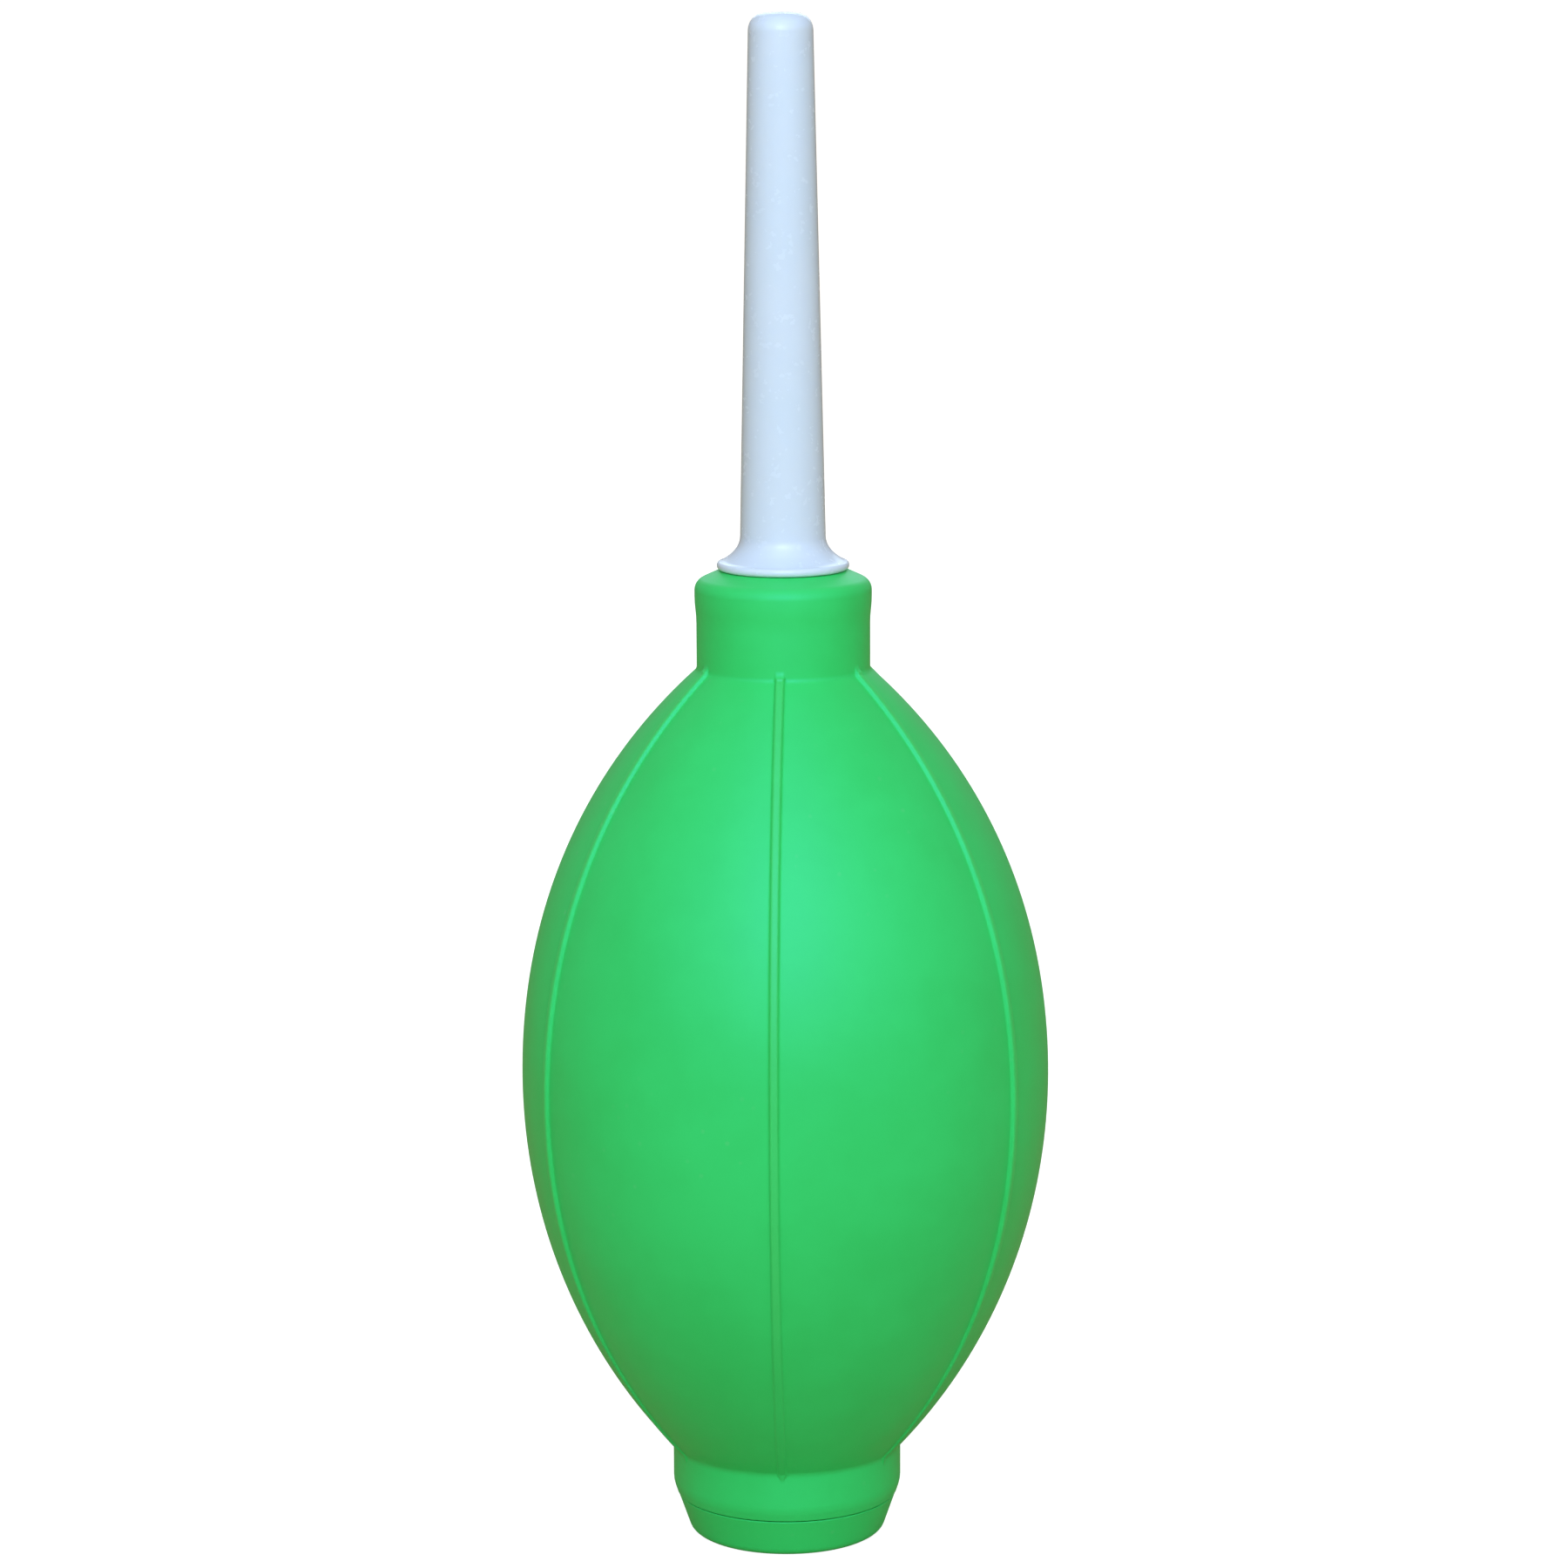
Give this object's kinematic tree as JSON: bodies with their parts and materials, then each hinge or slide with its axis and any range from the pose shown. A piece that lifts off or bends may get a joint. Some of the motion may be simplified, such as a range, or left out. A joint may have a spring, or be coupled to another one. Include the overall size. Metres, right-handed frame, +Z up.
{
  "type": "rubber bulb air blower",
  "caption": "Hand blower: a ribbed, spindle-shaped rubber bulb with a long tapered nozzle at the neck, a foot cap it stands on, and one-way disc valves inside.",
  "frame": {"origin": "centre of the foot cap's flat underside, which the blower stands on", "axes": "+Z up along the bulb's axis to the nozzle's tip, -Y the front, where one of the six ribs runs, +X to the right seen from the front"},
  "size_m": [0.057, 0.058, 0.1644],
  "materials": {
    "bulb_rubber": "satin",
    "nozzle_plastic": "gloss",
    "valve_plastic": "matte",
    "valve_rubber": "matte"
  },
  "bodies": {
    "bulb": {"bulb_body": "bulb_rubber", "foot_cap": "bulb_rubber", "intake_valve_cup": "valve_plastic", "intake_valve_cap": "valve_plastic"},
    "front_wall": {"bulb_front_wall": "bulb_rubber"},
    "back_wall": {"bulb_back_wall": "bulb_rubber"},
    "intake_disc": {"intake_valve_disc": "valve_rubber"},
    "nozzle": {"nozzle": "nozzle_plastic", "outlet_valve_cup": "valve_plastic", "outlet_valve_cap": "valve_plastic"},
    "outlet_disc": {"outlet_valve_disc": "valve_rubber"}
  },
  "joints": [
    {"name": "front_wall_squeeze", "type": "slide", "parent": "bulb", "child": "front_wall", "axis": [0, 1, 0], "range_m": [0, 0.012], "stiffness_N_per_m": 2000},
    {"name": "back_wall_squeeze", "type": "slide", "parent": "bulb", "child": "back_wall", "axis": [0, -1, 0], "range_m": [0, 0.012], "stiffness_N_per_m": 2000},
    {"name": "intake_disc_lift", "type": "slide", "parent": "bulb", "child": "intake_disc", "axis": [0, 0, 1], "range_m": [0, 0.0012]},
    {"name": "nozzle_pull", "type": "slide", "parent": "bulb", "child": "nozzle", "axis": [0, 0, 1], "range_m": [0, 0.03]},
    {"name": "outlet_disc_lift", "type": "slide", "parent": "nozzle", "child": "outlet_disc", "axis": [0, 0, 1], "range_m": [0, 0.001]}
  ],
  "couplings": [
    {"joint": "back_wall_squeeze", "follows": "front_wall_squeeze", "ratio": 1}
  ]
}
